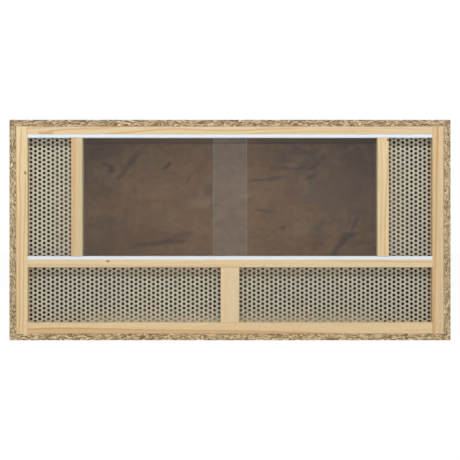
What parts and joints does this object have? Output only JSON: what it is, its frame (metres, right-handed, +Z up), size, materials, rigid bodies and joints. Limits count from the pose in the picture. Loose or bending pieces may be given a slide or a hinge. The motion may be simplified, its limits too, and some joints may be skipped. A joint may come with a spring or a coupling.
{
  "type": "reptile terrarium",
  "caption": "Wide reptile terrarium: strand-board case, pine front frame, two sliding glass panes in twin-channel tracks and perforated steel vents.",
  "frame": {"origin": "centre of the underside", "axes": "+X to the right seen from the front, along the longest side; the front with the sliding glass faces -Y; +Z up"},
  "size_m": [1, 0.5, 0.5],
  "materials": {
    "strand_board": "raw",
    "pine": "planed",
    "track_plastic": "satin",
    "glass": "clear",
    "sheet_steel": "galvanised",
    "screw_steel": "zinc plated"
  },
  "bodies": {
    "case": {"bottom_panel": "strand_board", "top_panel": "strand_board", "left_panel": "strand_board", "right_panel": "strand_board", "back_panel": "strand_board", "left_stile": "pine", "right_stile": "pine", "bottom_rail": "pine", "middle_rail": "pine", "top_rail": "pine", "centre_post": "pine", "left_post": "pine", "right_post": "pine", "lower_track": "track_plastic", "upper_track": "track_plastic", "upper_left_sheet": "sheet_steel", "upper_right_sheet": "sheet_steel", "lower_left_sheet": "sheet_steel", "lower_right_sheet": "sheet_steel", "top_screws": "screw_steel", "bottom_screws": "screw_steel"},
    "left_door": {"left_glass_door": "glass"},
    "right_door": {"right_glass_door": "glass"}
  },
  "joints": [
    {"name": "left_door_slide", "type": "slide", "parent": "case", "child": "left_door", "axis": [1, 0, 0], "range_m": [0, 0.296]},
    {"name": "right_door_slide", "type": "slide", "parent": "case", "child": "right_door", "axis": [1, 0, 0], "range_m": [-0.296, 0]}
  ]
}
